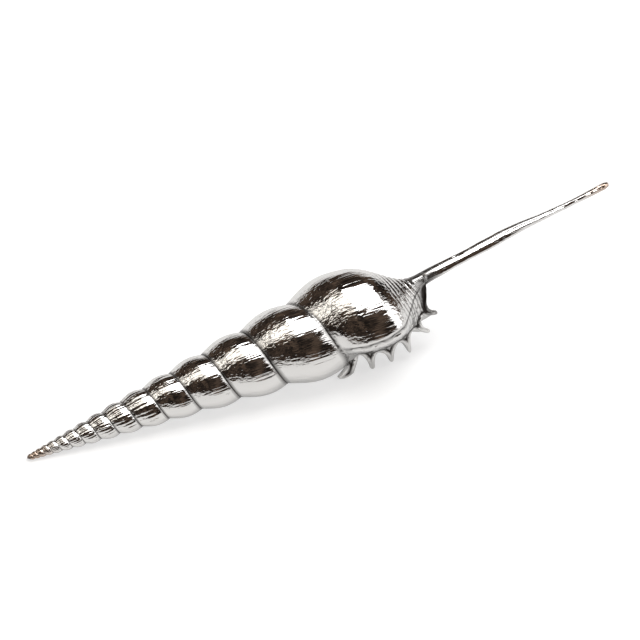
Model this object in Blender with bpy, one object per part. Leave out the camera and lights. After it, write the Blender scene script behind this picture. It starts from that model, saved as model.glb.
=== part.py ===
"""A slender tibia shell, silver coated, lying on its aperture side.

Units are metres. The shell is worked out in its own frame first: x runs along the axis from the apex
to the tip of the canal, and a turn of growth goes from +y through +z to -y, which makes it right-handed.
The lip ends on the -y side. The finished mesh is then laid down on the floor, apex towards -X.
"""

import math

import bpy
import numpy as np

# Overall form
LENGTH = 0.220
TURN_GROWTH = 1.205  # each turn is this many times the last
APEX_LEAD = 0.00637  # the blunt tip starts this far along an ideal cone
LAST_SUTURE = 0.1072  # distance along that cone of the last suture on the +y side
SUTURE_SLOPE = 0.1225
WHORL_BULGE = 0.108  # of the whorl's height, above the straight line between sutures
YOUNG_BULGE = 0.035
BODY_SWELL = 0.05
LIP_SWELL = 0.08  # the last turn widens by this share just before the lip
SUTURE_DROP = 0.0030  # the last suture dips this much before the lip
INNER_SLIMMING = 0.37  # the base is this much shorter where it turns in under the lip
BASE_SHARE = 0.92  # share of the base's rows before it is as thin as the canal

# Growth in turns, counted from the last suture on the +y side
STEPS = 24
LIP_TURN = 13 / STEPS
FOLD_TURN = 8 / STEPS
TURNS_BEFORE_LAST = 354 / STEPS
POCKET_TURN = 16 / STEPS  # how far the hollow goes on inside, past the fold where the lip starts

# Canal
ROOT_X = 0.1480
ROOT_RADIUS = 0.0024
TIP_RADIUS = 0.0011

# Lip
LIP_THICKNESS = 0.0018
INNER_WALL = 0.0016
POCKET_END = 0.009  # the hollow stops this far before the root of the canal
NARROWEST = 0.0008  # and where there is less room than this between its walls
RIM_ROUNDING = 0.0010
UPPER_SHARE = 0.52  # share of the rows between the last suture and where the next would be

# Rows
WHORL_ROWS = 4
CANAL_ROWS = 13

# How the shell lies
ROLL = math.radians(35.27)
PITCH = math.radians(8.1)

SILVER = (0.80, 0.79, 0.77, 1.0)


def ease(value, low, high):
    """A smooth step from 0 at low to 1 at high."""
    share = np.clip((np.asarray(value, float) - low) / (high - low), 0.0, 1.0)
    return share * share * (3.0 - 2.0 * share)


def through(keys, values, at):
    """A smooth curve through a few points: cubic pieces whose slopes come from the neighbours."""
    keys = np.asarray(keys, float)
    values = np.asarray(values, float)
    slopes = np.gradient(values, keys, axis=0)
    at = np.clip(at, keys[0], keys[-1])
    place = np.clip(np.searchsorted(keys, at, side="right") - 1, 0, len(keys) - 2)
    span = keys[place + 1] - keys[place]
    part = (at - keys[place]) / span
    if values.ndim > 1:
        span = span[..., None]
        part = part[..., None]
    start = values[place] * (1 + 2 * part) * (1 - part) ** 2
    end = values[place + 1] * part**2 * (3 - 2 * part)
    bend = slopes[place] * span * part * (1 - part) ** 2
    return start + end + bend + slopes[place + 1] * span * part**2 * (part - 1)


def suture(turn):
    """Along and out from the axis: a spiral on a cone that grows by one factor each turn."""
    cone = LAST_SUTURE * TURN_GROWTH ** np.asarray(turn, float)
    dip = SUTURE_DROP * ease(turn, -0.05, 0.22) * (1 - ease(turn, 0.38, LIP_TURN))
    return cone - APEX_LEAD + dip, SUTURE_SLOPE * cone


def upper_profile(turn, share):
    """From one suture to the next: the straight chord, raised by a leaning sine arch."""
    x0, r0 = suture(turn)
    x1, r1 = suture(np.asarray(turn) + 1)
    across, out = x1 - x0, r1 - r0
    young = 1 - ease(turn, -9.0, -4.0)
    body = ease(turn, LIP_TURN - 1, 0.0)
    arch = (WHORL_BULGE + YOUNG_BULGE * young) * np.sin(math.pi * share**1.1) + BODY_SWELL * body * share
    return x0 + across * share - out * arch, r0 + out * share + across * arch


def base_profile(turn, share):
    """From where the next suture would be down to the canal's root: a cubic curve that ends on the pillar."""
    x0, r0 = upper_profile(turn, np.ones_like(share))
    xb, rb = upper_profile(turn, np.full_like(share, 0.98))
    fall = (r0 - rb) / (x0 - xb)
    reach = (ROOT_X - x0) * (1 - INNER_SLIMMING * (1 - ease(turn, LIP_TURN - 1, -0.08)))
    x1, r1 = x0 + 0.38 * reach, r0 + 0.38 * reach * fall
    x2, x3 = x0 + 0.56 * reach, x0 + reach
    bend = np.clip(share / BASE_SHARE, 0, 1)
    a, b = (1 - bend) ** 3, 3 * bend * (1 - bend) ** 2
    c, d = 3 * bend**2 * (1 - bend), bend**3
    straight = np.clip((share - BASE_SHARE) / (1 - BASE_SHARE), 0, 1)
    x = a * x0 + b * x1 + c * x2 + d * x3 + (ROOT_X - x3) * straight
    return x, a * r0 + b * r1 + (c + d) * ROOT_RADIUS


def canal_shift(x):
    """How far the canal's centre line leaves the axis towards +y."""
    places = (0.128, 0.1395, 0.1485, 0.1555, 0.1707, 0.1858, 0.1944, 0.205, LENGTH)
    shifts = (0.0, 0.0012, 0.0029, 0.0034, 0.0046, 0.0059, 0.0061, 0.0065, 0.0075)
    return through(places, shifts, x)


def around(turn, x, r):
    """Puts a point at its angle round the axis, or round the canal's centre line."""
    angle = 2 * math.pi * np.asarray(turn)
    return np.stack([x + 0 * angle, r * np.cos(angle) + canal_shift(x), r * np.sin(angle)], axis=-1)


def profile(turn, row):
    """Along and out from the axis on the last turn: row 0 is the suture, row 1 the root of the canal."""
    turn, row = np.broadcast_arrays(np.asarray(turn, float), np.asarray(row, float))
    upper = np.clip(row / UPPER_SHARE, 0, 1)
    lower = np.clip((row - UPPER_SHARE) / (1 - UPPER_SHARE), 0, 1)
    xu, ru = upper_profile(turn, upper)
    xl, rl = base_profile(turn, lower)
    inside = row <= UPPER_SHARE
    swell = LIP_SWELL * ease(turn, 0.20, 0.36) * ease(row, 0.0, 0.12) * (1 - ease(row, 0.75, 1.0))
    return np.where(inside, xu, xl), np.where(inside, ru, rl) * (1 + swell)


def body(turn, row):
    """The last turn's surface as points."""
    return around(turn, *profile(turn, row))


# The lip's landmarks, each (x, distance towards -y, height towards +z) in millimetres:
# where the edge lies between the fingers, and where a finger there would end.
EDGE_MARKS = (
    ((111.6, 14.4, -3.7), (106.2, 17.0, -6.1)),  # at the suture, with the hook's toe
    ((114.2, 13.7, -3.0), (109.8, 18.9, -6.7)),
    ((117.3, 13.2, -1.2), (116.0, 19.0, -6.7)),  # notch after the hook
    ((120.7, 14.4, -1.2), (120.7, 19.9, -7.0)),  # first finger
    ((124.1, 15.1, -1.4), (124.2, 20.2, -7.2)),
    ((128.0, 15.2, -1.6), (127.9, 20.3, -7.3)),  # second finger
    ((131.9, 14.8, -1.4), (131.9, 20.2, -7.3)),
    ((134.9, 14.1, -1.0), (135.0, 19.9, -7.2)),  # third finger
    ((137.7, 12.9, -0.6), (140.0, 18.0, -6.4)),
    ((140.2, 11.5, -0.3), (144.0, 15.8, -5.6)),  # fourth finger
    ((142.5, 9.9, -0.2), (146.8, 13.3, -5.2)),
    ((144.6, 7.4, -0.2), (148.9, 10.6, -4.4)),  # fifth finger
    ((146.5, 4.7, -0.3), (150.0, 6.8, -3.4)),
    ((148.0, -0.9, -0.5), (149.6, 2.0, -1.5)),  # root of the canal
)
HOOK = (0, 1, 2)
FINGERS = ((2, 3, 4), (4, 5, 6), (6, 7, 8), (8, 9, 10), (10, 11, 12))
FINGER_HALF_WIDTHS = (0.26, 0.22, 0.17, 0.20, 0.22)
HOOK_HALF_WIDTH = 0.62
FLARE = np.array([0, -0.86, -0.51])  # the way the lip turns outwards at its edge


def mark_rows():
    """The row of the body at which each landmark sits, found from its place along the axis."""
    rows = np.linspace(0, 1, 200)
    along = body(FOLD_TURN, rows)[:, 0]
    marks = np.array([edge[0] / 1000 for edge, _ in EDGE_MARKS])
    lean = 0.002 * (ROOT_X - marks) / 0.030
    found = np.interp(marks - lean, along, rows)
    found[0], found[1], found[-1] = 0.0, 0.5 * found[2], 1.0
    return found


def lip_curve(which, row):
    """The landmarks joined by a smooth curve: which is 0 for the edge and 1 for the finger ends."""
    points = np.array([mark[which] for mark in EDGE_MARKS]) / 1000
    points[:, 1] *= -1
    return through(mark_rows(), points, row)


def lip_sheet(row, reach):
    """The lip's outer face. Reach 0 is the fold, 1 the edge between fingers, 2 a finger's end."""
    step = 1e-3
    fold = body(FOLD_TURN, row)
    growth = (body(FOLD_TURN, row) - body(FOLD_TURN - step, row)) / step
    growth /= np.linalg.norm(growth, axis=-1, keepdims=True)
    edge, end = lip_curve(0, row), lip_curve(1, row)
    first = np.linalg.norm(edge - fold, axis=-1, keepdims=True)
    last = np.linalg.norm(end - edge, axis=-1, keepdims=True)
    flare = FLARE + 0.4 * (end - edge) / np.maximum(last, 1e-4) * np.array([1, 0, 0])
    reach = np.asarray(reach, float)[..., None]
    part = np.clip(np.where(reach <= 1, reach, reach - 1), 0, 1)
    start = np.where(reach <= 1, fold, edge)
    stop = np.where(reach <= 1, edge, end)
    leave = np.where(reach <= 1, 0.9 * first * growth, 1.1 * last * flare)
    arrive = np.where(reach <= 1, 0.6 * first * flare, 0.9 * (end - edge))
    point = start * (1 + 2 * part) * (1 - part) ** 2 + stop * part**2 * (3 - 2 * part)
    return point + leave * part * (1 - part) ** 2 + arrive * part**2 * (part - 1)


def finger_outline(left, tip, right, half_width, side_steps, tip_steps):
    """One scallop, finger and scallop: quarter ellipses up each side and a half ellipse at the tip."""
    turn = np.linspace(0, math.pi / 2, side_steps + 1)[:-1]
    cap = np.linspace(0, math.pi, tip_steps + 1)
    shoulder = 0.86
    across = np.concatenate([-1 + (1 - half_width) * np.sin(turn), -half_width * np.cos(cap)])
    height = np.concatenate([shoulder * (1 - np.cos(turn)), shoulder + (1 - shoulder) * np.sin(cap)])
    across = np.concatenate([across, 1 - (1 - half_width) * np.sin(turn[:0:-1])])
    height = np.concatenate([height, shoulder * (1 - np.cos(turn[:0:-1]))])
    rows = np.where(across < 0, tip + across * (tip - left), tip + across * (right - tip))
    return rows, 1 + height


def lip_outline():
    """Row and reach of each point along the lip's edge, and the row where its line meets the fold."""
    marks = mark_rows()
    rows, reaches, feet = [], [], []
    for (a, b, c), width in zip((HOOK,) + FINGERS, (HOOK_HALF_WIDTH,) + FINGER_HALF_WIDTHS):
        row, reach = finger_outline(marks[a], marks[b], marks[c], width, 3, 2)
        count = len(row)
        even = marks[a] + (marks[c] - marks[a]) * np.arange(count) / count
        rows.append(row)
        reaches.append(reach)
        feet.append(even)
    last = np.linspace(marks[-2], 1.0, 4)
    rows = np.concatenate(rows + [last])
    reaches = np.concatenate(reaches + [np.ones(4)])
    feet = np.concatenate(feet + [last])
    nearest = np.argmin(np.abs(feet - UPPER_SHARE))
    feet[nearest] = UPPER_SHARE
    return rows, reaches, feet


def settle(grid, first, last):
    """Moves a grid's first and last rows onto given points, fading out over the rows beside them."""
    rows = np.linspace(0, 1, len(grid))[:, None, None]
    near_first, near_last = np.exp(-rows / 0.04), np.exp(-(1 - rows) / 0.04)
    moved = grid + near_first * (first - grid[0]) + near_last * (last - grid[-1])
    moved[0], moved[-1] = first, last
    return moved


def normals_of(surface, row, other):
    """Outward directions of a surface of two parameters, from small steps in each."""
    step = 1e-4
    low, high = np.clip(row - step, 0, 1), np.clip(row + step, 0, 1)
    along = surface(high, other) - surface(low, other)
    onward = surface(row, other + step) - surface(row, other - step)
    out = np.cross(onward, along)
    return out / np.maximum(np.linalg.norm(out, axis=-1, keepdims=True), 1e-12)


def distance_to(points, line):
    """Each point's distance to the nearest of a line's points."""
    gaps = points[..., None, :] - line
    return np.sqrt((gaps**2).sum(axis=-1)).min(axis=-1)


def fine_edge(rows, reaches):
    """The edge between the outline's points, close enough to measure distances to."""
    even = np.linspace(0, len(rows) - 1, 12 * len(rows))
    index = np.arange(len(rows))
    return lip_sheet(np.interp(even, index, rows), np.interp(even, index, reaches))


def lip_skin(row, reach, edge, side):
    """The lip's outer face (side 0) or inner face (side 1), brought together along the rounded rim."""
    sheet = lip_sheet(row, reach)
    near = distance_to(sheet, edge)
    near = np.where(reach >= reach.max(axis=1, keepdims=True), 0, near)
    half = LIP_THICKNESS / 2
    thick = half * np.sqrt(1 - (1 - np.clip(near / RIM_ROUNDING, 0, 1)) ** 2)[..., None]
    return sheet - normals_of(lip_sheet, row, reach) * (half + thick * (2 * side - 1))


def last_turn(rows, reaches, feet, edge):
    """The last turn's outer skin as a grid of rows by columns, from one lip to the next."""
    plain = STEPS - round((LIP_TURN - FOLD_TURN) * STEPS)
    turns = LIP_TURN - 1 + np.arange(STEPS + 1) / STEPS
    outer = body(turns[None, :], feet[:, None])
    share = (np.linspace(0, 1, STEPS - plain + 1) ** 0.85)[None, :]
    row = feet[:, None] + (rows - feet)[:, None] * share
    reach = np.maximum(reaches[:, None] * share, 1e-3)
    front = lip_skin(row, reach, edge, 0)
    front[:, 0] = lip_sheet(row[:, 0], reach[:, 0])
    outer[:, plain:] = settle(front, outer[0, plain:], outer[-1, plain:])
    return outer, turns, plain, share


def hollow_end(turn, away):
    """The rows of the outer surface and of the pillar where the hollow closes, for one column.

    That is near the root of the canal, or sooner where the two surfaces come close.
    """
    rows = np.linspace(UPPER_SHARE, 1, 200)
    x, r = profile(min(turn, FOLD_TURN), rows)
    pillar_x, pillar_r = profile(turn - 1, rows)
    room = np.interp(pillar_x, x, r) - pillar_r
    open_here = (pillar_x < x[0]) | (room > INNER_WALL + NARROWEST)
    stop = min(ROOT_X - POCKET_END * ease(away, 0.0, 0.2), pillar_x[open_here].max())
    stop = max(stop, x[0] + NARROWEST) if away > 0 else ROOT_X
    return np.interp(stop, x, rows), np.interp(stop, pillar_x, rows)


def pocket(outer, turns, plain, share, rows, reaches, feet, edge):
    """The hollow behind the aperture: loops of points from the lip's edge inwards."""
    first_base = int(np.argmin(np.abs(feet - UPPER_SHARE)))
    deep = round(POCKET_TURN * STEPS)
    inward = turns[plain] - np.arange(1, deep + 1) / STEPS
    columns = np.concatenate([turns[plain:][::-1], inward])
    away = np.linspace(0, 1, len(columns))
    wall_stop, core_stop = np.array([hollow_end(*column) for column in zip(columns, away)]).T
    lip = len(columns) - deep
    back = share[:, ::-1]
    row = feet[:, None] * wall_stop[:lip] * (1 - back) + rows[:, None] * back
    skin = lip_skin(row, np.maximum(reaches[:, None] * back, 1e-3), edge, 1)
    inner_row = feet[:, None] * wall_stop[lip:]
    inner_turn = inward[None, :] + 0 * inner_row
    out = normals_of(lambda across, turn: body(turn, across), inner_row, inner_turn)
    wall = np.concatenate([skin, body(inner_turn, inner_row) - out * INNER_WALL], axis=1)
    wall[:, 0] = outer[:, -1]

    base_share = (feet[first_base:] - UPPER_SHARE) / (1 - UPPER_SHARE)
    first_row = UPPER_SHARE + 0.05 * ease(away, 0, 0.3)
    core_row = first_row + (core_stop - first_row) * base_share[:, None]
    core = body(columns - 1, core_row)
    joint_start = 0.5 * (wall[0] + core[0])
    joint_end = 0.5 * (wall[-1] + core[-1])
    joint_start[0], joint_end[0] = outer[0, -1], outer[-1, -1]
    wall = settle(wall, joint_start, joint_end)
    core = settle(core, joint_start, joint_end)
    wall[:, 0] = outer[:, -1]
    core[:, 0] = outer[first_base:, 0]
    return wall, core, first_base


def canal(turns):
    """The spine: rings round its centre line from the root to the blunt tip."""
    along = np.linspace(0, 1, CANAL_ROWS + 1)[1:]
    x = ROOT_X + (LENGTH - ROOT_X) * along
    radius = through((0, 0.1, 0.5, 0.62, 1.0), (ROOT_RADIUS, 0.0021, 0.0018, 0.00125, TIP_RADIUS), along)
    return around(turns[None, :-1], x[:, None], radius[:, None])


class Faces:
    """Collects vertices and faces by number."""

    def __init__(self):
        self.points = []
        self.faces = []
        self.count = 0

    def add(self, points):
        points = np.asarray(points).reshape(-1, 3)
        numbers = self.count + np.arange(len(points))
        self.points.append(points)
        self.count += len(points)
        return numbers

    def grid(self, numbers):
        """Quads between neighbouring rows and columns of a table of vertex numbers."""
        a, b = numbers[:-1, :-1], numbers[1:, :-1]
        c, d = numbers[1:, 1:], numbers[:-1, 1:]
        quads = np.stack([a, b, c, d], axis=-1).reshape(-1, 4)
        self.faces += [list(dict.fromkeys(quad)) for quad in quads.tolist()]

    def zip(self, left, right, left_place, right_place):
        """Triangles between two lines of points, always moving on along the one that is behind."""
        i = j = 0
        while i < len(left) - 1 or j < len(right) - 1:
            go_left = j == len(right) - 1
            if i < len(left) - 1 and not go_left:
                go_left = left_place[i + 1] <= right_place[j + 1]
            nxt = left[i + 1] if go_left else right[j + 1]
            face = [left[i], nxt, right[j]]
            i, j = (i + 1, j) if go_left else (i, j + 1)
            if len(set(face)) == 3:
                self.faces.append([int(v) for v in face])


def spire(store, body_numbers, first_base):
    """All the turns before the last one, as a strip whose lower edge is the next turn's upper edge."""
    columns = round(TURNS_BEFORE_LAST * STEPS)
    turns = LIP_TURN - 1 - TURNS_BEFORE_LAST + np.arange(columns) / STEPS
    share = np.linspace(0, 1, WHORL_ROWS + 1)
    x, r = upper_profile(turns[None, :], share[:, None])
    points = around(turns[None, :], x, r)
    numbers = np.zeros((WHORL_ROWS + 1, columns), int)
    numbers[:-1] = store.add(points[:-1]).reshape(WHORL_ROWS, columns)
    numbers[-1] = np.concatenate([numbers[0, STEPS:], body_numbers[0, :STEPS]])
    store.grid(numbers)
    upper = body_numbers[: first_base + 1, 0]
    store.zip(numbers[:, -1], upper, share, np.linspace(0, 1, len(upper)))
    rim = np.concatenate([numbers[0, :STEPS], numbers[::-1, 0]])
    rim = list(dict.fromkeys(rim.tolist()))
    tip = int(store.add([[-0.0004, 0.0, 0.0]])[0])
    for here, there in zip(rim, rim[1:] + rim[:1]):
        store.faces.append([here, there, tip])


def shell_mesh():
    """Numbers every vertex once, so that the surface closes, and returns points and faces."""
    store = Faces()
    rows, reaches, feet = lip_outline()
    edge = fine_edge(rows, reaches)
    outer, turns, plain, share = last_turn(rows, reaches, feet, edge)
    wall, core, first_base = pocket(outer, turns, plain, share, rows, reaches, feet, edge)
    numbers = store.add(outer).reshape(outer.shape[:2])
    numbers[-1, -1] = numbers[-1, 0]
    numbers[first_base, 0] = numbers[0, -1]
    store.grid(numbers)
    spire(store, numbers, first_base)

    rings = canal(turns)
    ring_numbers = store.add(rings).reshape(rings.shape[:2])
    ring_numbers = np.concatenate([ring_numbers, ring_numbers[:, :1]], axis=1)
    store.grid(np.concatenate([numbers[-1:], ring_numbers]))
    end = int(store.add([[LENGTH + 0.0003, canal_shift(LENGTH), 0.0]])[0])
    ring = ring_numbers[-1].tolist()
    for here, there in zip(ring, ring[1:]):
        store.faces.append([here, end, there])

    wall_numbers = store.add(wall).reshape(wall.shape[:2])
    wall_numbers[:, 0] = numbers[:, -1]
    core_numbers = store.add(core).reshape(core.shape[:2])
    core_numbers[:, 0] = numbers[first_base:, 0]
    core_numbers[0], core_numbers[-1] = wall_numbers[0], wall_numbers[-1]
    store.grid(wall_numbers)
    store.grid(core_numbers[:, ::-1])
    store.zip(
        wall_numbers[:, -1],
        core_numbers[:, -1],
        np.linspace(0, 1, len(wall_numbers)),
        np.linspace(0, 1, len(core_numbers)),
    )
    return np.concatenate(store.points), store.faces


def lay_down(points):
    """Rolls the shell about its axis, tips the canal up, and sets the lowest point on the floor."""
    roll = np.array(
        [[1, 0, 0], [0, math.cos(ROLL), -math.sin(ROLL)], [0, math.sin(ROLL), math.cos(ROLL)]]
    )
    tip = np.array(
        [[math.cos(PITCH), 0, -math.sin(PITCH)], [0, 1, 0], [math.sin(PITCH), 0, math.cos(PITCH)]]
    )
    points = points @ (tip @ roll).T
    low, high = points.min(axis=0), points.max(axis=0)
    return points - [(low[0] + high[0]) / 2, (low[1] + high[1]) / 2, low[2]]


def silver():
    """Polished silver coating."""
    material = bpy.data.materials.new("silver")
    material.use_nodes = True
    shader = material.node_tree.nodes["Principled BSDF"]
    shader.inputs["Base Color"].default_value = SILVER
    shader.inputs["Metallic"].default_value = 1.0
    shader.inputs["Roughness"].default_value = 0.12
    return material


def tibia_shell():
    """The whole shell as one closed mesh."""
    points, faces = shell_mesh()
    points = lay_down(points)
    used = sorted({number for face in faces for number in face})
    renumber = {number: place for place, number in enumerate(used)}
    faces = [[renumber[number] for number in reversed(face)] for face in faces]
    mesh = bpy.data.meshes.new("tibia_shell")
    mesh.from_pydata(points[used].tolist(), [], faces)
    mesh.validate()
    mesh.shade_smooth()
    mesh.set_sharp_from_angle(angle=math.radians(40))
    mesh.materials.append(silver())
    shell = bpy.data.objects.new("tibia_shell", mesh)
    bpy.context.scene.collection.objects.link(shell)
    return shell


for old in list(bpy.data.objects):
    bpy.data.objects.remove(old)
tibia_shell()
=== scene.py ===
# %% [markdown]
# # A silver-coated tibia shell
#
# A tibia is a sea snail with a tall pointed spire, a short row of fingers on its outer lip and a long
# straight spine that held its breathing tube. This one has been coated in silver, so that nearly all
# its colour is a reflection. The whole shell grew as one piece, and it is made here as one surface:
# every point comes from two numbers, how many turns the snail had grown and how far across the turn
# the point lies.

import math

import bpy
import numpy as np
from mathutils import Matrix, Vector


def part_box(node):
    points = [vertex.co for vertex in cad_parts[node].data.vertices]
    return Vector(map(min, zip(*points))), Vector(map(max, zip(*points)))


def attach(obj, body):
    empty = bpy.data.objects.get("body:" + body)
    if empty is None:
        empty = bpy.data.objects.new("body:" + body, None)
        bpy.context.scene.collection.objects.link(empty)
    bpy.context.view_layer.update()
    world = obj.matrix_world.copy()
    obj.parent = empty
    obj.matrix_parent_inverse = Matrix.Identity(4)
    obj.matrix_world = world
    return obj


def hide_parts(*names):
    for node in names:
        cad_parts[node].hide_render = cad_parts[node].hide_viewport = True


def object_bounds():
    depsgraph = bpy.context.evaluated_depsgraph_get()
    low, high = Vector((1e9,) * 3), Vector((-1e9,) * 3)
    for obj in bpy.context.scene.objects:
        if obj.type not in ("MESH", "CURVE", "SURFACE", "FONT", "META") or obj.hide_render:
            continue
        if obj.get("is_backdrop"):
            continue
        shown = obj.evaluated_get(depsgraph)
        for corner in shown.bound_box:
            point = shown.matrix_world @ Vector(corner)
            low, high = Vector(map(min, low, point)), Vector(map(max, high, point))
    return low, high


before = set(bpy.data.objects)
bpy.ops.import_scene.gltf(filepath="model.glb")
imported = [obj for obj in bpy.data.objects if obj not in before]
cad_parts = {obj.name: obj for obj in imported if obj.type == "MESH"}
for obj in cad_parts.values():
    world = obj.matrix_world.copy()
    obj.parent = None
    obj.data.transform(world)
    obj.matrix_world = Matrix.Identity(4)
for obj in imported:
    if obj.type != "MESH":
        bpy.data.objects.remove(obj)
bounds_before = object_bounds()
solid_low, solid_high = (np.array(corner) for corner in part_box("tibia_shell"))
print("solid, mm:", np.round((solid_high - solid_low) * 1000, 1))

# %% [markdown]
# ## The numbers of the shell
#
# A snail adds the same share of its size in each turn, so one factor sets the whole spire. Lengths are in
# metres, and growth is counted in turns from the last suture on the +y side. In the shell's own frame x
# runs from the apex to the tip of the canal, and growth goes from +y through +z to -y.

# %% Sizes
LENGTH = 0.220
TURN_GROWTH = 1.205
APEX_LEAD = 0.00637
LAST_SUTURE = 0.1072
SUTURE_SLOPE = 0.1225
WHORL_BULGE = 0.108
YOUNG_BULGE = 0.035
BODY_SWELL = 0.05
LIP_SWELL = 0.08  # the whorl widens by this share of its radius just before the lip
SWELL_TURNS = (0.20, 0.36)  # where that widening starts and where it is full
SUTURE_DROP = 0.0030
INNER_SLIMMING = 0.37  # the pillar in the hollow ends earlier than the last base, by this share
BASE_SHARE = 0.92  # this share of the base's rows is its curve, and the rest its straight stem
BASE_HANDLES = (0.38, 0.56)  # where the curve's two inner control points lie along the base
SUTURE_GROOVE = 0.016  # depth of the groove along a suture, as a share of the radius
SUTURE_WIDTH = 0.02  # and how fast it fades, as a share of the whorl's height

STEPS = 168  # columns of the mesh in each turn
LIP_TURN = 13 / 24
FOLD_TURN = 8 / 24
TURNS_BEFORE_LAST = 354 / 24
POCKET_TURN = 16 / 24

ROOT_X = 0.1480
ROOT_RADIUS = 0.0024
TIP_RADIUS = 0.0011
LIP_THICKNESS = 0.0018
INNER_WALL = 0.0016
POCKET_END = 0.009  # the hollow stops this far before the root of the canal
NARROWEST = 0.0008  # and where its two walls come this close
RIM_ROUNDING = 0.0010
UPPER_SHARE = 0.52  # the share of the last turn's rows above the next suture's place
ROLL = math.radians(35.27)
PITCH = math.radians(8.1)
print("whorls:", TURNS_BEFORE_LAST + 1, "size of the first against the last:",
      round(TURN_GROWTH**-TURNS_BEFORE_LAST, 3))


# %% Two helpers for smooth curves
def ease(value, low, high):
    """3s^2 - 2s^3 of the share s of the way from low to high: a smooth step from 0 to 1."""
    share = np.clip((np.asarray(value, float) - low) / (high - low), 0.0, 1.0)
    return share * share * (3.0 - 2.0 * share)


def through(keys, values, at):
    """Cubic pieces through a few points, each piece's end slopes taken from the neighbouring points."""
    keys = np.asarray(keys, float)
    values = np.asarray(values, float)
    slopes = np.gradient(values, keys, axis=0)
    at = np.clip(at, keys[0], keys[-1])
    place = np.clip(np.searchsorted(keys, at, side="right") - 1, 0, len(keys) - 2)
    span = keys[place + 1] - keys[place]
    part = (at - keys[place]) / span
    if values.ndim > 1:
        span = span[..., None]
        part = part[..., None]
    start = values[place] * (1 + 2 * part) * (1 - part) ** 2
    end = values[place + 1] * part**2 * (3 - 2 * part)
    bend = slopes[place] * span * part * (1 - part) ** 2
    return start + end + bend + slopes[place + 1] * span * part**2 * (part - 1)


# %% [markdown]
# ## The whorls
#
# A whorl could be turned on a lathe, but then it would close on itself and never climb. Here each profile
# is a function of the turn as well: the suture line climbs a cone, and a leaning sine arch swells between
# one suture and the next. The last turn goes on past the next suture's place, as a cubic curve that
# narrows to the root of the canal.


# %% Profiles of a turn
def suture(turn):
    """Distance along the cone times the growth factor to the power of the turn; it dips before the lip."""
    cone = LAST_SUTURE * TURN_GROWTH ** np.asarray(turn, float)
    dip = SUTURE_DROP * ease(turn, -0.05, 0.22) * (1 - ease(turn, 0.38, LIP_TURN))
    return cone - APEX_LEAD + dip, SUTURE_SLOPE * cone


def upper_profile(turn, share):
    """The chord between two sutures, plus sin(pi share^1.1) times the bulge at right angles to it."""
    x0, r0 = suture(turn)
    x1, r1 = suture(np.asarray(turn) + 1)
    across, out = x1 - x0, r1 - r0
    young = 1 - ease(turn, -9.0, -4.0)
    swell = BODY_SWELL * ease(turn, LIP_TURN - 1, 0.0) * share
    arch = (WHORL_BULGE + YOUNG_BULGE * young) * np.sin(math.pi * share**1.1) + swell
    return x0 + across * share - out * arch, r0 + out * share + across * arch


def base_profile(turn, share):
    """A cubic curve with four control points, from the next suture's place down to the thin pillar."""
    x0, r0 = upper_profile(turn, np.ones_like(share))
    xb, rb = upper_profile(turn, np.full_like(share, 0.98))
    fall = (r0 - rb) / (x0 - xb)
    reach = (ROOT_X - x0) * (1 - INNER_SLIMMING * (1 - ease(turn, LIP_TURN - 1, -0.08)))
    first, second = BASE_HANDLES
    x1, r1 = x0 + first * reach, r0 + first * reach * fall
    x2, x3 = x0 + second * reach, x0 + reach
    bend = np.clip(share / BASE_SHARE, 0, 1)
    a, b = (1 - bend) ** 3, 3 * bend * (1 - bend) ** 2
    c, d = 3 * bend**2 * (1 - bend), bend**3
    straight = np.clip((share - BASE_SHARE) / (1 - BASE_SHARE), 0, 1)
    x = a * x0 + b * x1 + c * x2 + d * x3 + (ROOT_X - x3) * straight
    return x, a * r0 + b * r1 + (c + d) * ROOT_RADIUS


def canal_shift(x):
    """How far the canal's gently wavy centre line leaves the axis towards +y."""
    places = (0.128, 0.1395, 0.1485, 0.1555, 0.1707, 0.1858, 0.1944, 0.205, LENGTH)
    shifts = (0.0, 0.0012, 0.0029, 0.0034, 0.0046, 0.0059, 0.0061, 0.0065, 0.0075)
    return through(places, shifts, x)


def around(turn, x, r):
    """A point at radius r and angle 2 pi turn round the centre line."""
    angle = 2 * math.pi * np.asarray(turn)
    return np.stack([x + 0 * angle, r * np.cos(angle) + canal_shift(x), r * np.sin(angle)], axis=-1)


print("last suture at mm:", np.round(np.array(suture(0.0)) * 1000, 1))


# %% [markdown]
# ## Growth lines, ribs and grooves
#
# A snail grows in small steps, and each leaves a faint line along the axis. The first whorls have real
# ribs, the sutures are narrow grooves, and the base is crossed by about ten fine spiral grooves. In
# polished metal such relief shows more than its height suggests, because it breaks the edges of every
# reflection. It is added to the radius, as sums of waves whose counts share no factor, so that they
# never look regular.


# %% Relief on the turns
BODY_LINES = 0.0013  # height of the growth lines, as a share of the radius
YOUNG_LINES = 0.0014  # added to it on the young whorls
RIB_HEIGHT = 0.0140  # height of the young whorls' ribs, as a share of the radius
RIBS = 29  # in each turn
BASE_GROOVES = 36
BASE_GROOVE_DEPTH = 0.00034


def growth_lines(turn):
    """Four cosine waves of different counts in a turn, the last one slowly fading in and out."""
    angle = 2 * math.pi * np.asarray(turn)
    waves = 0.40 * np.cos(13.7 * angle + 0.6) + 0.30 * np.cos(23.3 * angle + 1.9)
    waves = waves + 0.25 * np.cos(37.9 * angle + 2.2 * np.sin(1.7 * angle))
    return waves + 0.20 * np.cos(53.1 * angle) * np.sin(3.1 * angle)


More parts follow.
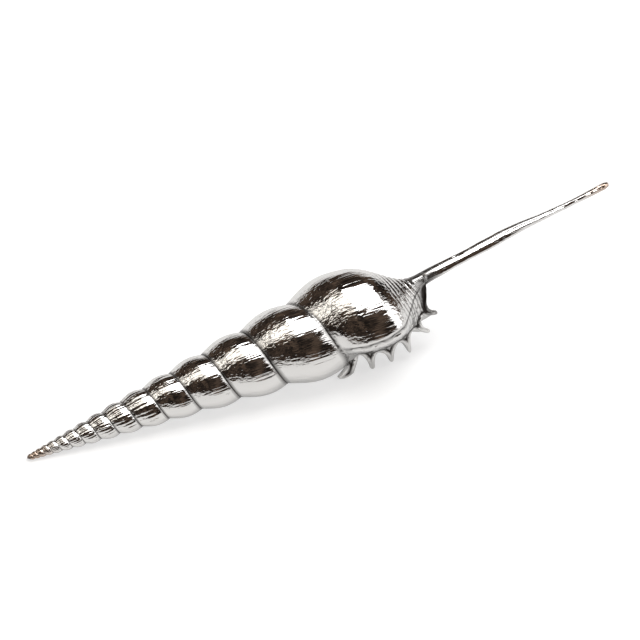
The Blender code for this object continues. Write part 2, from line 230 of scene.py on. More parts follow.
def relief(turn, share, r):
    """Growth lines and young ribs, fading to nothing at both sutures, less a groove along each of them."""
    window = np.clip(np.sin(math.pi * np.clip(share, 0, 1)), 0, 1) ** 0.5
    ribs = 1 - ease(turn, -5.0, -3.5)
    ribbed = RIB_HEIGHT * ribs * np.cos(2 * math.pi * RIBS * turn + 1.5 * share)
    lined = (BODY_LINES + YOUNG_LINES * ribs) * growth_lines(turn + 0.004 * np.sin(7 * share))
    groove = SUTURE_GROOVE * np.exp(-share / SUTURE_WIDTH)
    groove = groove + SUTURE_GROOVE * np.exp(-(1 - share) / SUTURE_WIDTH)
    return r * ((ribbed + lined) * window - groove)


def base_grooves(turn, row):
    """A bell curve round each zero of a sine of the row, faded in and out so that ten or so are left."""
    place = np.sin(math.pi * BASE_GROOVES * row**0.8 + 0.8 * np.sin(2 * math.pi * 1.3 * turn))
    depth = BASE_GROOVE_DEPTH * ease(row, 0.60, 0.74) * (1 - ease(row, 0.82, 0.92))
    return depth * np.exp(-((place / 0.42) ** 2))


def profile(turn, row):
    """The last turn: row 0 is the suture, UPPER_SHARE the next one's place, and 1 the canal's root."""
    turn, row = np.broadcast_arrays(np.asarray(turn, float), np.asarray(row, float))
    upper = np.clip(row / UPPER_SHARE, 0, 1)
    lower = np.clip((row - UPPER_SHARE) / (1 - UPPER_SHARE), 0, 1)
    xu, ru = upper_profile(turn, upper)
    xl, rl = base_profile(turn, lower)
    covered = 1 - ease(turn, LIP_TURN - 1, LIP_TURN - 0.9)
    near_suture = np.exp(-upper / SUTURE_WIDTH) + covered * np.exp(-(1 - upper) / SUTURE_WIDTH)
    ru = ru - ru * SUTURE_GROOVE * near_suture
    rl = rl - rl * SUTURE_GROOVE * covered * np.exp(-lower / SUTURE_WIDTH)
    inside = row <= UPPER_SHARE
    x, r = np.where(inside, xu, xl), np.where(inside, ru, rl)
    r = r * (1 + LIP_SWELL * ease(turn, *SWELL_TURNS) * ease(row, 0.0, 0.12) * (1 - ease(row, 0.75, 1.0)))
    clear = 1 - covered * np.exp(-(((row - UPPER_SHARE) / 0.03) ** 2))
    fade = np.clip(row / 0.03, 0, 1) * (1 - ease(row, 0.85, 1.0)) * clear
    r = r + BODY_LINES * r * growth_lines(turn + 0.004 * np.sin(7 * row)) * fade
    return x, r - base_grooves(turn, row)


def body(turn, row):
    """The profile carried round the axis."""
    return around(turn, *profile(turn, row))


print("deepest base groove, mm:", round(float(base_grooves(0.2, np.linspace(0, 1, 999)).max()) * 1000, 3))


# %% [markdown]
# ## The lip
#
# At the end of its growth the snail turned the shell's edge out into a flange with a hook at the suture
# and five fingers. The landmarks below are places on that edge, taken from proportions of the whole. A
# smooth curve joins the places between the fingers and another joins their ends, and the sheet between
# the fold, the first curve and the second is cubic, so it leaves the body without a crease.

# %% Landmarks of the lip, in millimetres: along, towards -y, towards +z
EDGE_MARKS = (
    ((111.6, 14.4, -3.7), (106.2, 17.0, -6.1)),  # at the suture, with the hook's toe
    ((114.2, 13.7, -3.0), (109.8, 18.9, -6.7)),
    ((117.3, 13.2, -1.2), (116.0, 19.0, -6.7)),  # notch after the hook
    ((120.7, 14.4, -1.2), (120.7, 19.9, -7.0)),  # first finger
    ((124.1, 15.1, -1.4), (124.2, 20.2, -7.2)),
    ((128.0, 15.2, -1.6), (127.9, 20.3, -7.3)),  # second finger
    ((131.9, 14.8, -1.4), (131.9, 20.2, -7.3)),
    ((134.9, 14.1, -1.0), (135.0, 19.9, -7.2)),  # third finger
    ((137.7, 12.9, -0.6), (140.0, 18.0, -6.4)),
    ((140.2, 11.5, -0.3), (144.0, 15.8, -5.6)),  # fourth finger
    ((142.5, 9.9, -0.2), (146.8, 13.3, -5.2)),
    ((144.6, 7.4, -0.2), (148.9, 10.6, -4.4)),  # fifth finger
    ((146.5, 4.7, -0.3), (150.0, 6.8, -3.4)),
    ((148.0, -0.9, -0.5), (149.6, 2.0, -1.5)),  # root of the canal
)
HOOK = (0, 1, 2)
FINGERS = ((2, 3, 4), (4, 5, 6), (6, 7, 8), (8, 9, 10), (10, 11, 12))
FINGER_HALF_WIDTHS = (0.26, 0.22, 0.17, 0.20, 0.22)
HOOK_HALF_WIDTH = 0.62
FLARE = np.array([0, -0.86, -0.51])  # the way the lip turns outwards at its edge
SIDE_STEPS = 8
TIP_STEPS = 8
ROOT_STEPS = 14
FOLD_RIDGE = 0.00015
FOLD_TROUGH = 0.0009
LEAVE_FOLD, REACH_EDGE = 0.9, 0.6  # strengths of the sheet's slopes from the fold to the edge
LEAVE_EDGE, REACH_END = 1.1, 0.9  # and from the edge to the finger ends
REACH_TURNS = 0.16  # how many turns the sheet grows from the fold to the edge
print("fingers:", len(FINGERS))


# %% The lip's sheet
def mark_rows():
    """The row of the body at which each landmark sits, found from its place along the axis."""
    rows = np.linspace(0, 1, 200)
    along = body(FOLD_TURN, rows)[:, 0]
    marks = np.array([edge[0] / 1000 for edge, _ in EDGE_MARKS])
    lean = 0.002 * (ROOT_X - marks) / 0.030
    found = np.interp(marks - lean, along, rows)
    found[0], found[1], found[-1] = 0.0, 0.5 * found[2], 1.0
    return found


MARK_ROWS = mark_rows()


def lip_curve(which, row):
    """The landmarks joined by a smooth curve: which is 0 for the edge and 1 for the finger ends."""
    points = np.array([mark[which] for mark in EDGE_MARKS]) / 1000
    points[:, 1] *= -1
    return through(MARK_ROWS, points, row)


def fold_ridge(row, past):
    """A low ridge and a trough beside it, both bell curves, a little past the fold (past is in turns)."""
    ridge, trough = np.exp(-(((past + 0.004) / 0.006) ** 2)), np.exp(-(((past - 0.014) / 0.009) ** 2))
    height = (FOLD_RIDGE * ridge - FOLD_TROUGH * trough) * ease(row, 0.02, 0.15)
    height = height * (1 - ease(row, 0.70, 0.90))
    angle = 2 * math.pi * FOLD_TURN
    return height[..., None] * np.array([0, math.cos(angle), math.sin(angle)])


def lip_sheet(row, reach):
    """Cubic pieces from the fold (reach 0) to the edge (1) and on to the finger ends (2). Each leaves
    and arrives along a given direction, with a strength that is a share of the way to go.
    """
    step = 1e-3
    fold = body(FOLD_TURN, row)
    growth = (body(FOLD_TURN, row) - body(FOLD_TURN - step, row)) / step
    growth = growth / np.linalg.norm(growth, axis=-1, keepdims=True)
    edge, end = lip_curve(0, row), lip_curve(1, row)
    first = np.linalg.norm(edge - fold, axis=-1, keepdims=True)
    last = np.linalg.norm(end - edge, axis=-1, keepdims=True)
    flare = FLARE + 0.4 * (end - edge) / np.maximum(last, 1e-4) * np.array([1, 0, 0])
    reach = np.asarray(reach, float)[..., None]
    part = np.clip(np.where(reach <= 1, reach, reach - 1), 0, 1)
    start = np.where(reach <= 1, fold, edge)
    stop = np.where(reach <= 1, edge, end)
    leave = np.where(reach <= 1, LEAVE_FOLD * first * growth, LEAVE_EDGE * last * flare)
    arrive = np.where(reach <= 1, REACH_EDGE * first * flare, REACH_END * (end - edge))
    point = start * (1 + 2 * part) * (1 - part) ** 2 + stop * part**2 * (3 - 2 * part)
    point = point + leave * part * (1 - part) ** 2 + arrive * part**2 * (part - 1)
    return point + fold_ridge(row, REACH_TURNS * reach[..., 0])


print("rows of the landmarks:", np.round(MARK_ROWS, 2))


# %% The outline of hook and fingers
def finger_outline(left, tip, right, half_width):
    """A quarter ellipse up each side and a half ellipse at the tip, as rows and reaches."""
    turn = np.linspace(0, math.pi / 2, SIDE_STEPS + 1)[:-1]
    cap = np.linspace(0, math.pi, TIP_STEPS + 1)
    shoulder = 0.86
    across = np.concatenate([-1 + (1 - half_width) * np.sin(turn), -half_width * np.cos(cap)])
    height = np.concatenate([shoulder * (1 - np.cos(turn)), shoulder + (1 - shoulder) * np.sin(cap)])
    across = np.concatenate([across, 1 - (1 - half_width) * np.sin(turn[:0:-1])])
    height = np.concatenate([height, shoulder * (1 - np.cos(turn[:0:-1]))])
    rows = np.where(across < 0, tip + across * (tip - left), tip + across * (right - tip))
    return rows, 1 + height


def lip_outline():
    """Row and reach of each point of the lip's edge, and the row where its line starts at the fold."""
    rows, reaches, feet = [], [], []
    for (a, b, c), width in zip((HOOK,) + FINGERS, (HOOK_HALF_WIDTH,) + FINGER_HALF_WIDTHS):
        row, reach = finger_outline(MARK_ROWS[a], MARK_ROWS[b], MARK_ROWS[c], width)
        rows.append(row)
        reaches.append(reach)
        feet.append(MARK_ROWS[a] + (MARK_ROWS[c] - MARK_ROWS[a]) * np.arange(len(row)) / len(row))
    last = np.linspace(MARK_ROWS[-2], 1.0, ROOT_STEPS)
    rows = np.concatenate(rows + [last])
    reaches = np.concatenate(reaches + [np.ones(ROOT_STEPS)])
    feet = np.concatenate(feet + [last])
    feet[np.argmin(np.abs(feet - UPPER_SHARE))] = UPPER_SHARE
    return rows, reaches, feet


EDGE_ROWS, EDGE_REACHES, FEET = lip_outline()
FIRST_BASE = int(np.argmin(np.abs(FEET - UPPER_SHARE)))
even = np.linspace(0, len(FEET) - 1, 4 * len(FEET))
EDGE_LINE = lip_sheet(np.interp(even, np.arange(len(FEET)), EDGE_ROWS),
                      np.interp(even, np.arange(len(FEET)), EDGE_REACHES))
print("rows of the last turn:", len(FEET))


# %% [markdown]
# ## Skins
#
# The lip is a thin wall with two faces that meet in a rounded rim. Both come from the same sheet: each
# point moves along the normal by half the wall, and less near the edge, as on a quarter circle. A rolled
# bead runs along the rim and a few low folds lie parallel to it, where growth stopped and went on.


# %% Inner and outer face of the lip
def normals_of(surface, row, other):
    """The cross product of small steps in the two parameters, made one unit long."""
    step = 1e-4
    low, high = np.clip(row - step, 0, 1), np.clip(row + step, 0, 1)
    along = surface(high, other) - surface(low, other)
    onward = surface(row, other + step) - surface(row, other - step)
    out = np.cross(onward, along)
    return out / np.maximum(np.linalg.norm(out, axis=-1, keepdims=True), 1e-12)


def distance_to_rim(points):
    """Each point's distance to the nearest point of the edge line, one row of the grid at a time."""
    return np.array([np.linalg.norm(line[:, None] - EDGE_LINE, axis=-1).min(axis=-1) for line in points])


def rim_folds(near, reach):
    """A raised bead 0.9 mm inside the rim, a groove behind it and three low folds further in."""
    bead = 0.00016 * np.exp(-(((near - 0.0009) / 0.0004) ** 2))
    groove = 0.00018 * np.exp(-(((near - 0.0018) / 0.0004) ** 2))
    folds = 0.00014 * np.cos(2 * math.pi * (near / 0.0021 + 0.1))
    return bead - groove + folds * ease(near, 0.0022, 0.0035) * ease(reach, 0.05, 0.35)


def lip_skin(row, reach, side):
    """The sheet moved out (side 0) or in (side 1) by half the wall times the rim's quarter circle."""
    sheet = lip_sheet(row, reach)
    near = distance_to_rim(sheet)
    near = np.where(reach >= reach.max(axis=1, keepdims=True), 0, near)
    half = LIP_THICKNESS / 2
    thick = half * np.sqrt(1 - (1 - np.clip(near / RIM_ROUNDING, 0, 1)) ** 2)
    out = normals_of(lip_sheet, row, reach)
    move = half + thick * (2 * side - 1)
    move = move - (1 - side) * rim_folds(near, reach)
    return sheet - out * move[..., None]


def settle(grid, first, last):
    """Moves a grid's first and last rows onto given points, fading out over the rows beside them."""
    rows = np.linspace(0, 1, len(grid))[:, None, None]
    near_first, near_last = np.exp(-rows / 0.04), np.exp(-(1 - rows) / 0.04)
    moved = grid + near_first * (first - grid[0]) + near_last * (last - grid[-1])
    moved[0], moved[-1] = first, last
    return moved


# %% The last turn's outer skin
PLAIN = STEPS - round((LIP_TURN - FOLD_TURN) * STEPS)
TURNS = LIP_TURN - 1 + np.arange(STEPS + 1) / STEPS
LIP_SHARE = (1 - (1 - np.linspace(0, 1, STEPS - PLAIN + 1)) ** 1.5)[None, :]


def last_turn():
    """The body's grid of rows and columns, whose last columns are the lip's outer face."""
    outer = body(TURNS[None, :], FEET[:, None]) + fold_ridge(FEET[:, None], TURNS[None, :] - FOLD_TURN)
    row = FEET[:, None] + (EDGE_ROWS - FEET)[:, None] * LIP_SHARE
    reach = np.maximum(EDGE_REACHES[:, None] * LIP_SHARE, 1e-3)
    front = lip_skin(row, reach, 0)
    front[:, 0] = lip_sheet(row[:, 0], reach[:, 0])
    outer[:, PLAIN:] = settle(front, outer[0, PLAIN:], outer[-1, PLAIN:])
    return outer, distance_to_rim(lip_sheet(row, reach))


outer_skin, rim_distance = last_turn()
print("outer skin, rows and columns:", outer_skin.shape[:2])


# %% [markdown]
# ## The hollow behind the lip
#
# Seen from below, the mouth of the shell is a slit that leads into the last whorl. Its far wall is the
# inside of the lip and its near wall is the pillar, which is the same surface one turn earlier. Both are
# carried inwards for two thirds of a turn and closed there in the dark.


# %% Walls of the hollow
def hollow_end(turn, away):
    """Rows of the outer wall and the pillar where they come within a wall and a gap, or near the root."""
    rows = np.linspace(UPPER_SHARE, 1, 200)
    x, r = profile(min(turn, FOLD_TURN), rows)
    pillar_x, pillar_r = profile(turn - 1, rows)
    room = np.interp(pillar_x, x, r) - pillar_r
    open_here = (pillar_x < x[0]) | (room > INNER_WALL + NARROWEST)
    stop = min(ROOT_X - POCKET_END * ease(away, 0.0, 0.2), pillar_x[open_here].max())
    stop = max(stop, x[0] + NARROWEST) if away > 0 else ROOT_X
    return np.interp(stop, x, rows), np.interp(stop, pillar_x, rows)


def hollow():
    """Two grids that share their first and last rows: the wall under the lip, and the pillar."""
    deep = round(POCKET_TURN * STEPS)
    inward = TURNS[PLAIN] - np.arange(1, deep + 1) / STEPS
    columns = np.concatenate([TURNS[PLAIN:][::-1], inward])
    away = np.linspace(0, 1, len(columns))
    wall_stop, core_stop = np.array([hollow_end(*column) for column in zip(columns, away)]).T
    lip = len(columns) - deep
    back = LIP_SHARE[:, ::-1]
    row = FEET[:, None] * wall_stop[:lip] * (1 - back) + EDGE_ROWS[:, None] * back
    skin = lip_skin(row, np.maximum(EDGE_REACHES[:, None] * back, 1e-3), 1)
    inner_row = FEET[:, None] * wall_stop[lip:]
    inner_turn = inward[None, :] + 0 * inner_row
    out = normals_of(lambda across, turn: body(turn, across), inner_row, inner_turn)
    wall = np.concatenate([skin, body(inner_turn, inner_row) - out * INNER_WALL], axis=1)
    wall[:, 0] = outer_skin[:, -1]
    base_share = (FEET[FIRST_BASE:] - UPPER_SHARE) / (1 - UPPER_SHARE)
    first_row = UPPER_SHARE + 0.05 * ease(away, 0, 0.3)
    core = body(columns - 1, first_row + (core_stop - first_row) * base_share[:, None])
    joint_start, joint_end = 0.5 * (wall[0] + core[0]), 0.5 * (wall[-1] + core[-1])
    joint_start[0], joint_end[0] = outer_skin[0, -1], outer_skin[-1, -1]
    wall, core = settle(wall, joint_start, joint_end), settle(core, joint_start, joint_end)
    wall[:, 0], core[:, 0] = outer_skin[:, -1], outer_skin[FIRST_BASE:, 0]
    return wall, core


wall_skin, pillar_skin = hollow()
print("columns into the hollow:", wall_skin.shape[1])


# %% [markdown]
# ## The canal
#
# The spine is a half-closed tube, so it isn't round: low creases run along it, they wander a little, and
# the coating has filled the slit. It narrows after the middle and is broken off bluntly at the end.

# %% Rings of the canal
CANAL_ROWS = 52


def canal():
    """Rings whose radius is a smooth curve of x, times 1 plus slowly turning waves round the ring."""
    along = np.linspace(0, 1, CANAL_ROWS + 1)[1:, None]
    x = ROOT_X + (LENGTH - ROOT_X) * along
    radius = through((0, 0.1, 0.5, 0.62, 1.0), (ROOT_RADIUS, 0.0021, 0.0018, 0.00125, TIP_RADIUS), along)
    angle = 2 * math.pi * TURNS[None, :-1]
    creases = 0.05 * np.cos(3 * angle + 2.0 * along) + 0.035 * np.cos(5 * angle + 3.0 * along)
    creases = creases + 0.03 * np.cos(9 * angle - 5.0 * along)
    lumps = 0.03 * np.sin(21 * along) + 0.02 * np.sin(47 * along + angle)
    fade = ease(along, 0.0, 0.12)
    rounding = np.sqrt(1 - 0.55 * ease(along, 0.985, 1.0))
    return around(TURNS[None, :-1], x, radius * rounding * (1 + (creases + lumps) * fade))


canal_rings = canal()
print("canal rings:", len(canal_rings))


# %% [markdown]
# ## Joining it all into one mesh
#
# Each grid gives a table of vertex numbers, and neighbouring grids share the numbers along their common
# edge, so the finished surface is closed with no seam to merge. Where two edges have different counts, a
# strip of triangles steps along whichever edge is behind.


# %% Tables of numbers to triangles
def grid_triangles(numbers):
    """Two triangles for each cell between neighbouring rows and columns."""
    a, b = numbers[:-1, :-1], numbers[1:, :-1]
    c, d = numbers[1:, 1:], numbers[:-1, 1:]
    return np.concatenate([np.stack([a, b, c], -1).reshape(-1, 3), np.stack([a, c, d], -1).reshape(-1, 3)])


def strip_triangles(left, right, left_place, right_place):
    """Sorts both edges' next places together: each step forward on one edge makes one triangle."""
    keys = np.concatenate([left_place[1:], right_place[1:]])
    is_left = np.arange(len(keys)) < len(left) - 1
    is_left = is_left[np.argsort(keys, kind="stable")]
    i = np.cumsum(is_left) - is_left
    j = np.cumsum(~is_left) - ~is_left
    next_left = left[np.minimum(i + 1, len(left) - 1)]
    next_right = right[np.minimum(j + 1, len(right) - 1)]
    return np.stack([left[i], np.where(is_left, next_left, next_right), right[j]], axis=-1)


def fan_triangles(ring, tip, forward):
    """A triangle from each side of a closed ring to one point."""
    after = np.roll(ring, -1)
    order = (ring, after, np.full_like(ring, tip)) if forward else (ring, np.full_like(ring, tip), after)
    return np.stack(order, axis=-1)


# %% The spire's strip
WHORL_ROWS = 11


def spire(start):
    """All earlier turns as one long strip: its lower edge is its own upper edge one turn later. The
    painted shade of its points, near black and rougher, is a bell curve at each suture.
    """
    columns = round(TURNS_BEFORE_LAST * STEPS)
    turns = LIP_TURN - 1 - TURNS_BEFORE_LAST + np.arange(columns) / STEPS
    share = 0.5 - 0.5 * np.cos(math.pi * np.linspace(0, 1, WHORL_ROWS + 1))
    x, r = upper_profile(turns[None, :], share[:, None])
    points = around(turns[None, :], x, r + relief(turns[None, :], share[:, None], r))[:-1]
    numbers = np.zeros((WHORL_ROWS + 1, columns), int)
    numbers[:-1] = start + np.arange(WHORL_ROWS * columns).reshape(WHORL_ROWS, columns)
    numbers[-1] = np.concatenate([numbers[0, STEPS:], body_numbers[0, :STEPS]])
    # painted shade: near black and rougher along both sutures of each whorl
    dull_and_painted_shade = np.exp(-((share / 0.036) ** 2)) + np.exp(-(((1 - share) / 0.026) ** 2))
    return points.reshape(-1, 3), numbers, share, np.repeat(dull_and_painted_shade[:-1], columns)


rows, columns = outer_skin.shape[:2]
body_numbers = np.arange(rows * columns).reshape(rows, columns)
spire_points, spire_numbers, spire_share, spire_painted_shade = spire(rows * columns)
body_numbers[-1, -1] = body_numbers[-1, 0]
body_numbers[FIRST_BASE, 0] = body_numbers[0, -1]
print("spire points:", len(spire_points))

# %% All points and faces
tip_number = rows * columns + len(spire_points)
ring_numbers = tip_number + 1 + np.arange(canal_rings[..., 0].size).reshape(canal_rings.shape[:2])
ring_numbers = np.concatenate([ring_numbers, ring_numbers[:, :1]], axis=1)
end_number = int(ring_numbers.max()) + 1
wall_numbers = end_number + 1 + np.arange(wall_skin[..., 0].size).reshape(wall_skin.shape[:2])
pillar_numbers = int(wall_numbers.max()) + 1 + np.arange(pillar_skin[..., 0].size)
pillar_numbers = pillar_numbers.reshape(pillar_skin.shape[:2])
wall_numbers[:, 0] = body_numbers[:, -1]
pillar_numbers[:, 0] = body_numbers[FIRST_BASE:, 0]
pillar_numbers[0], pillar_numbers[-1] = wall_numbers[0], wall_numbers[-1]

apex_rim = np.concatenate([spire_numbers[0, :STEPS], spire_numbers[::-1, 0][:-1]])
upper_edge = body_numbers[: FIRST_BASE + 1, 0]
faces = np.concatenate([
    grid_triangles(body_numbers),
    grid_triangles(spire_numbers),
    strip_triangles(spire_numbers[:, -1], upper_edge, spire_share, np.linspace(0, 1, len(upper_edge))),
    fan_triangles(apex_rim, tip_number, True),
    grid_triangles(np.concatenate([body_numbers[-1:], ring_numbers])),
    fan_triangles(ring_numbers[-1, :-1], end_number, False),
    grid_triangles(wall_numbers),
    grid_triangles(pillar_numbers[:, ::-1]),
    strip_triangles(wall_numbers[:, -1], pillar_numbers[:, -1],
                    np.linspace(0, 1, len(wall_numbers)), np.linspace(0, 1, len(pillar_numbers))),
])
faces = faces[(faces != np.roll(faces, 1, axis=1)).all(axis=1)][:, ::-1]
APEX_DOME, END_DOME = 0.0004, 0.0003
points = np.concatenate([
    outer_skin.reshape(-1, 3), spire_points, [[-APEX_DOME, 0.0, 0.0]], canal_rings.reshape(-1, 3),
    [[LENGTH + END_DOME, canal_shift(LENGTH), 0.0]], wall_skin.reshape(-1, 3), pillar_skin.reshape(-1, 3),
])
print("triangles:", len(faces))

# %% [markdown]
# ## Where shade and dark reflections are painted on the silver
#
# The coating is bright on every open face. Shade and dark reflections are painted on it in near black,
# with a rougher finish: painted shade down in the sutures and in the grooves of the base, behind the
# lip's rim, beside its fold and in the hollow, and painted dark reflections in stripes on the lip and
# round the root of the canal. The shell's own warm brown shows at the apex and at the broken end of the
# canal. A number from 0 to 1 at each point carries that to the material.

# %% Painted shade in the sutures and grooves
SUTURE_SHADE_WIDTH = 0.019  # width of the painted-shade line at the last suture, in rows
GROOVE_SHADE = 3200  # painted shade for each metre of a groove's depth
# Painted shade along the last suture and in the base grooves, broken up a little round the turn and faded
# out over the lip.
body_painted_shade = np.exp(-((FEET / SUTURE_SHADE_WIDTH) ** 2))[:, None]
body_painted_shade = body_painted_shade + GROOVE_SHADE * base_grooves(TURNS[None, :], FEET[:, None])
body_painted_shade = body_painted_shade * (0.75 + 0.25 * np.cos(2 * math.pi * 47 * TURNS + 3 * np.sin(31 * TURNS)))
body_painted_shade[:, PLAIN:] *= (1 - LIP_SHARE) ** 0.5
print("dull share of the last turn:", round(float((body_painted_shade > 0.5).mean()), 3))

# %% Painted shade and painted dark reflections on the lip
open_rows = (ease(FEET, 0.0, 0.06) * (1 - ease(FEET, 0.86, 0.93)))[:, None]
# painted shade in the groove behind the rim's bead
shade_behind_rim = np.exp(-(((rim_distance - 0.0019) / 0.0006) ** 2)) * ease(LIP_SHARE, 0.15, 0.4)
wander = rim_distance / 0.0011 + 0.5 * np.sin(60 * FEET)[:, None]
# painted dark reflections: stripes parallel to the rim, switched on and off along the lip
reflection_streaks = np.exp(-((np.sin(math.pi * wander) / 0.4) ** 2))
reflection_streaks = reflection_streaks * ease(np.sin(80 * FEET + 1.0), -0.2, 0.4)[:, None]
reflection_streaks = reflection_streaks * ease(rim_distance, 0.0024, 0.0028) * ease(LIP_SHARE, 0.15, 0.35)
past_fold = REACH_TURNS * EDGE_REACHES[:, None] * LIP_SHARE
# painted shade in the trough just past the fold
shade_under_ridge = np.exp(-(((past_fold - 0.010) / 0.005) ** 2)) * open_rows
body_painted_shade[:, PLAIN:] += 1.2 * shade_behind_rim + 0.9 * reflection_streaks + 1.1 * shade_under_ridge
print("with the lip:", round(float((body_painted_shade > 0.5).mean()), 3))

# %% Painted dark reflection round the root of the canal, and the brown tips
# painted dark reflection: a dark band with stripes round the root, on the base and the start of the canal
root_reflection_streaks = 0.76 + 0.24 * np.sin(150 * TURNS + 4 * np.sin(23 * TURNS))
body_painted_shade += ease(FEET, 0.80, 0.93)[:, None] * root_reflection_streaks
past_root = np.linspace(0, 1, CANAL_ROWS + 1)[1:, None]
canal_painted_shade = (1 - ease(past_root, 0.02, 0.13)) * root_reflection_streaks[:-1]
# painted shade inside the hollow behind the lip
HOLLOW_PAINTED_SHADE = 0.35
hollow_shade = np.full(wall_skin[..., 0].size + pillar_skin[..., 0].size, HOLLOW_PAINTED_SHADE)
# the painted-shade number of every point, from 0 to 1
dull_and_painted_shade = np.concatenate([
    body_painted_shade.reshape(-1), spire_painted_shade, [0.0], canal_painted_shade.reshape(-1), [0.0], hollow_shade,
])
BROWN_APEX, BROWN_END = (0.002, 0.012), (0.206, LENGTH)
brown = 1 - ease(points[:, 0], *BROWN_APEX) + ease(points[:, 0], *BROWN_END)
print("dull share of the points:", round(float((dull_and_painted_shade > 0.5).mean()), 3))

# %% [markdown]
# ## Laying it down
#
# The shell rests on its apex, on the fullest part of its whorls and on the hook of its lip. It is rolled
# about its axis, the canal is tipped up, and the result is fitted into the solid's own box.


# %% Lay it down and make the object
def lay_down(points):
    """Turns about x by the roll and about y by the pitch, then fits the solid's box, less a hair."""
    roll = np.array([[1, 0, 0], [0, math.cos(ROLL), -math.sin(ROLL)], [0, math.sin(ROLL), math.cos(ROLL)]])
    tip = np.array(
        [[math.cos(PITCH), 0, -math.sin(PITCH)], [0, 1, 0], [math.sin(PITCH), 0, math.cos(PITCH)]]
    )
    points = points @ (tip @ roll).T
    low, high = points.min(axis=0), points.max(axis=0)
    spare = 0.00001
    scale = (solid_high - solid_low - 2 * spare) / (high - low)
    print("fitted by", np.round(scale, 4))
    return solid_low + spare + (points - low) * scale


used, renumbered = np.unique(faces, return_inverse=True)
mesh = bpy.data.meshes.new("tibia_shell_fine")
mesh.from_pydata(lay_down(points[used]).tolist(), [], renumbered.reshape(-1, 3).tolist())
# the painted-shade number goes to the material as a point attribute
mesh.attributes.new("dull_and_painted_shade", "FLOAT", "POINT").data.foreach_set("value", np.clip(dull_and_painted_shade[used], 0, 1))
mesh.attributes.new("brown", "FLOAT", "POINT").data.foreach_set("value", np.clip(brown[used], 0, 1))
mesh.shade_smooth()
shell = bpy.data.objects.new("tibia_shell_fine", mesh)
bpy.context.scene.collection.objects.link(shell)
print("vertices:", len(mesh.vertices), "triangles:", len(mesh.polygons))

# %% [markdown]
# ## Silver
#
# The coating is real metal, so it is a metallic surface with a low roughness. Fine lines run the length of
# the shell, on the whorls, along the lip and down the canal. Two noises stretched along the axis, a fine
# one and a broad one, give all of them as bumps of 0.3 and 0.6 mm at most.

# %% The silver material
SILVER = (0.86, 0.85, 0.835, 1)
TIP_BROWN = (0.56, 0.44, 0.36, 1)
# near-black colour for painted shade and painted dark reflections
PAINTED_SHADE_COLOUR = (0.024, 0.020, 0.018, 1)
silver = bpy.data.materials.new("silver_coating")
silver.use_nodes = True
nodes, links = silver.node_tree.nodes, silver.node_tree.links
shader = nodes["Principled BSDF"]
shader.inputs["Metallic"].default_value = 1.0


def add(kind, **values):
    """A node of that kind, with its inputs set by name."""
    node = nodes.new(kind)
    for name, value in values.items():
        node.inputs[name.replace("_", " ")].default_value = value
    return node


def attribute(name):
    """The factor output of a point attribute."""
    node = nodes.new("ShaderNodeAttribute")
    node.attribute_name = name
    return node.outputs["Fac"]


def stretched_noise(scale, detail, stretch):
    """Noise on Object coordinates, turned by the pitch and drawn out along the shell's axis."""
    place = nodes.new("ShaderNodeTexCoord")
    turn = add("ShaderNodeMapping", Rotation=(0, PITCH, 0), Scale=(1 / stretch, 1, 1))
    links.new(place.outputs["Object"], turn.inputs["Vector"])
    noise = add("ShaderNodeTexNoise", Scale=scale, Detail=detail, Distortion=0.3)
    links.new(turn.outputs["Vector"], noise.inputs["Vector"])
    return noise.outputs["Fac"]


def mixed(kind, factor, first, second, name):
    """A Mix node of that data type between two values or sockets."""
    node = nodes.new("ShaderNodeMix")
    node.data_type = kind
    wanted = "RGBA" if kind == "RGBA" else "VALUE"
    slots = [slot for slot in node.inputs if slot.type == wanted and slot.name in ("A", "B")]
    links.new(factor, node.inputs["Factor"])
    for slot, value in zip(slots, (first, second)):
        if isinstance(value, bpy.types.NodeSocket):
            links.new(value, slot)
        else:
            slot.default_value = value
    result = next(slot for slot in node.outputs if slot.type == wanted)
    if name:
        links.new(result, shader.inputs[name])
    return result


print("material:", silver.name)

# %% Colour, gloss and fine lines
warm = mixed("RGBA", attribute("brown"), SILVER, TIP_BROWN, None)
# painted shade: the painted-shade number mixes the colour to near black and raises the roughness to 0.40
mixed("RGBA", attribute("dull_and_painted_shade"), warm, PAINTED_SHADE_COLOUR, "Base Color")
gloss = mixed("FLOAT", stretched_noise(260, 2, 5), 0.03, 0.13, None)
mixed("FLOAT", attribute("dull_and_painted_shade"), gloss, 0.40, "Roughness")
fine = add("ShaderNodeBump", Strength=0.7, Distance=0.0003)
links.new(stretched_noise(1100, 2, 40), fine.inputs["Height"])
broad = add("ShaderNodeBump", Strength=0.25, Distance=0.0006)
links.new(stretched_noise(200, 2, 12), broad.inputs["Height"])
links.new(fine.outputs["Normal"], broad.inputs["Normal"])
links.new(broad.outputs["Normal"], shader.inputs["Normal"])
mesh.materials.append(silver)
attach(shell, "root")
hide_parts("tibia_shell")
print("nodes:", len(nodes))

# %% [markdown]
# ## Studio
#
# Polished metal shows the room. A pale floor gives the light grey below, and a dark room with a few warm
# blotches gives the brown bands. Soft boxes give the white panels: a wide one overhead, two dimmer cream
# ones that step down on the apex side, and one that reaches low on the right. The floor glows, and more
# for the camera than in reflections, so that it is white while the metal's lower side stays grey.

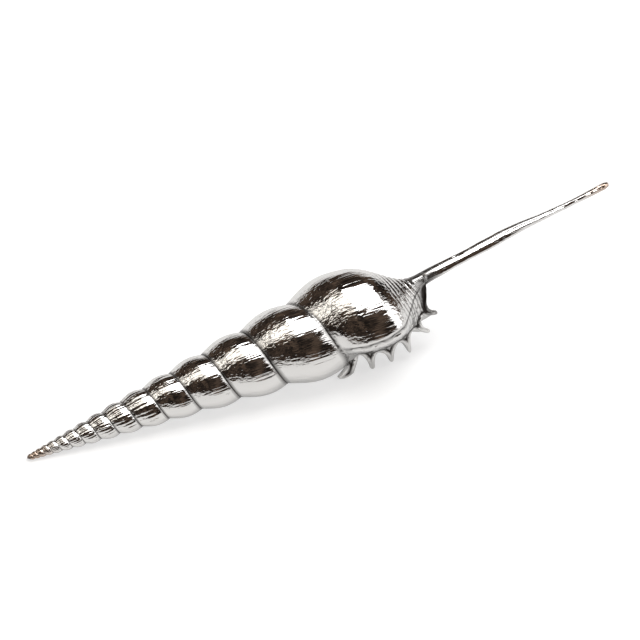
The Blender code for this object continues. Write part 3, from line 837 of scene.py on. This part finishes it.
# %% Floor, room and lights
bpy.ops.mesh.primitive_plane_add(size=8)
floor = bpy.context.object
floor.name = "floor"
paper = bpy.data.materials.new("floor_paper")
paper.use_nodes = True
paper_shader = paper.node_tree.nodes["Principled BSDF"]
paper_shader.inputs["Base Color"].default_value = (0.45, 0.45, 0.45, 1)
paper_shader.inputs["Roughness"].default_value = 0.9
paper_shader.inputs["Emission Color"].default_value = (1, 1, 1, 1)
seen = paper.node_tree.nodes.new("ShaderNodeLightPath")
glow = paper.node_tree.nodes.new("ShaderNodeMapRange")
glow.inputs["To Min"].default_value = 0.30
glow.inputs["To Max"].default_value = 0.62
paper.node_tree.links.new(seen.outputs["Is Camera Ray"], glow.inputs["Value"])
paper.node_tree.links.new(glow.outputs["Result"], paper_shader.inputs["Emission Strength"])
floor.data.materials.append(paper)
floor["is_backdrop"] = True

world = bpy.data.worlds.new("room")
world.use_nodes = True
bpy.context.scene.world = world
room = world.node_tree
place = room.nodes.new("ShaderNodeTexCoord")
blotches = room.nodes.new("ShaderNodeTexNoise")
blotches.inputs["Scale"].default_value = 3.5
blotches.inputs["Detail"].default_value = 4
shades = room.nodes.new("ShaderNodeValToRGB")
dark, blotch = shades.color_ramp.elements
dark.position, dark.color = 0.42, (0.010, 0.008, 0.007, 1)
blotch.position, blotch.color = 0.78, (0.16, 0.11, 0.08, 1)
room.links.new(place.outputs["Generated"], blotches.inputs["Vector"])
room.links.new(blotches.outputs["Fac"], shades.inputs["Fac"])
room.links.new(shades.outputs["Color"], room.nodes["Background"].inputs["Color"])


def soft_box(name, place, target, size, radiance, colour=(1, 1, 1)):
    """A rectangular area light whose watts are radiance times pi times its area."""
    data = bpy.data.lights.new(name, "AREA")
    data.shape = "RECTANGLE"
    data.size, data.size_y = size
    data.energy = radiance * math.pi * size[0] * size[1]
    data.color = colour
    light = bpy.data.objects.new(name, data)
    light.location = place
    aim = np.array(target) - np.array(place)
    flat = math.hypot(aim[0], aim[1])
    heading = math.atan2(-aim[0], aim[1]) if flat > 1e-6 else 0
    light.rotation_euler = (math.atan2(flat, -aim[2]), 0, heading)
    bpy.context.scene.collection.objects.link(light)
    return light


soft_box("overhead", (0.24, 0.18, 0.80), (0.24, 0.18, 0), (0.66, 0.62), 5.5)
soft_box("cream", (-0.42, 0.14, 0.80), (-0.42, 0.14, 0), (0.64, 0.50), 1.5, (1.0, 0.96, 0.89))
soft_box("cream, low", (-0.86, 0.10, 0.42), (0, 0, 0.02), (0.50, 0.60), 1.3, (1.0, 0.96, 0.89))
soft_box("right", (0.77, -0.36, 0.45), (0, 0, 0.02), (0.85, 0.80), 1.7)

# %% Camera
AZIMUTH, ELEVATION, DISTANCE = math.radians(-22.7), math.radians(55.1), 1.10
AIM_HEIGHT, AIM_RIGHT, AIM_UP = 0.0155, -0.00161, 0.00448
back = np.array([
    math.sin(AZIMUTH) * math.cos(ELEVATION), -math.cos(AZIMUTH) * math.cos(ELEVATION), math.sin(ELEVATION)
])
right = np.array([math.cos(AZIMUTH), math.sin(AZIMUTH), 0])
camera_data = bpy.data.cameras.new("camera")
camera_data.lens = 181
camera_data.sensor_width = 36
camera = bpy.data.objects.new("camera", camera_data)
centre = np.array([0.0, 0.0, AIM_HEIGHT]) + AIM_RIGHT * right + AIM_UP * np.cross(back, right)
camera.location = centre + back * DISTANCE
camera.rotation_euler = (math.pi / 2 - ELEVATION, 0, AZIMUTH)
bpy.context.scene.collection.objects.link(camera)
bpy.context.scene.camera = camera
bpy.context.scene.view_settings.view_transform = "Standard"
print("camera at", np.round(camera.location, 3))

# %% Finish
bounds_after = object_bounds()
sizes = [(np.array(high) - np.array(low)) * 1000 for low, high in (bounds_before, bounds_after)]
print("size before and after, mm:", *np.round(sizes, 2))
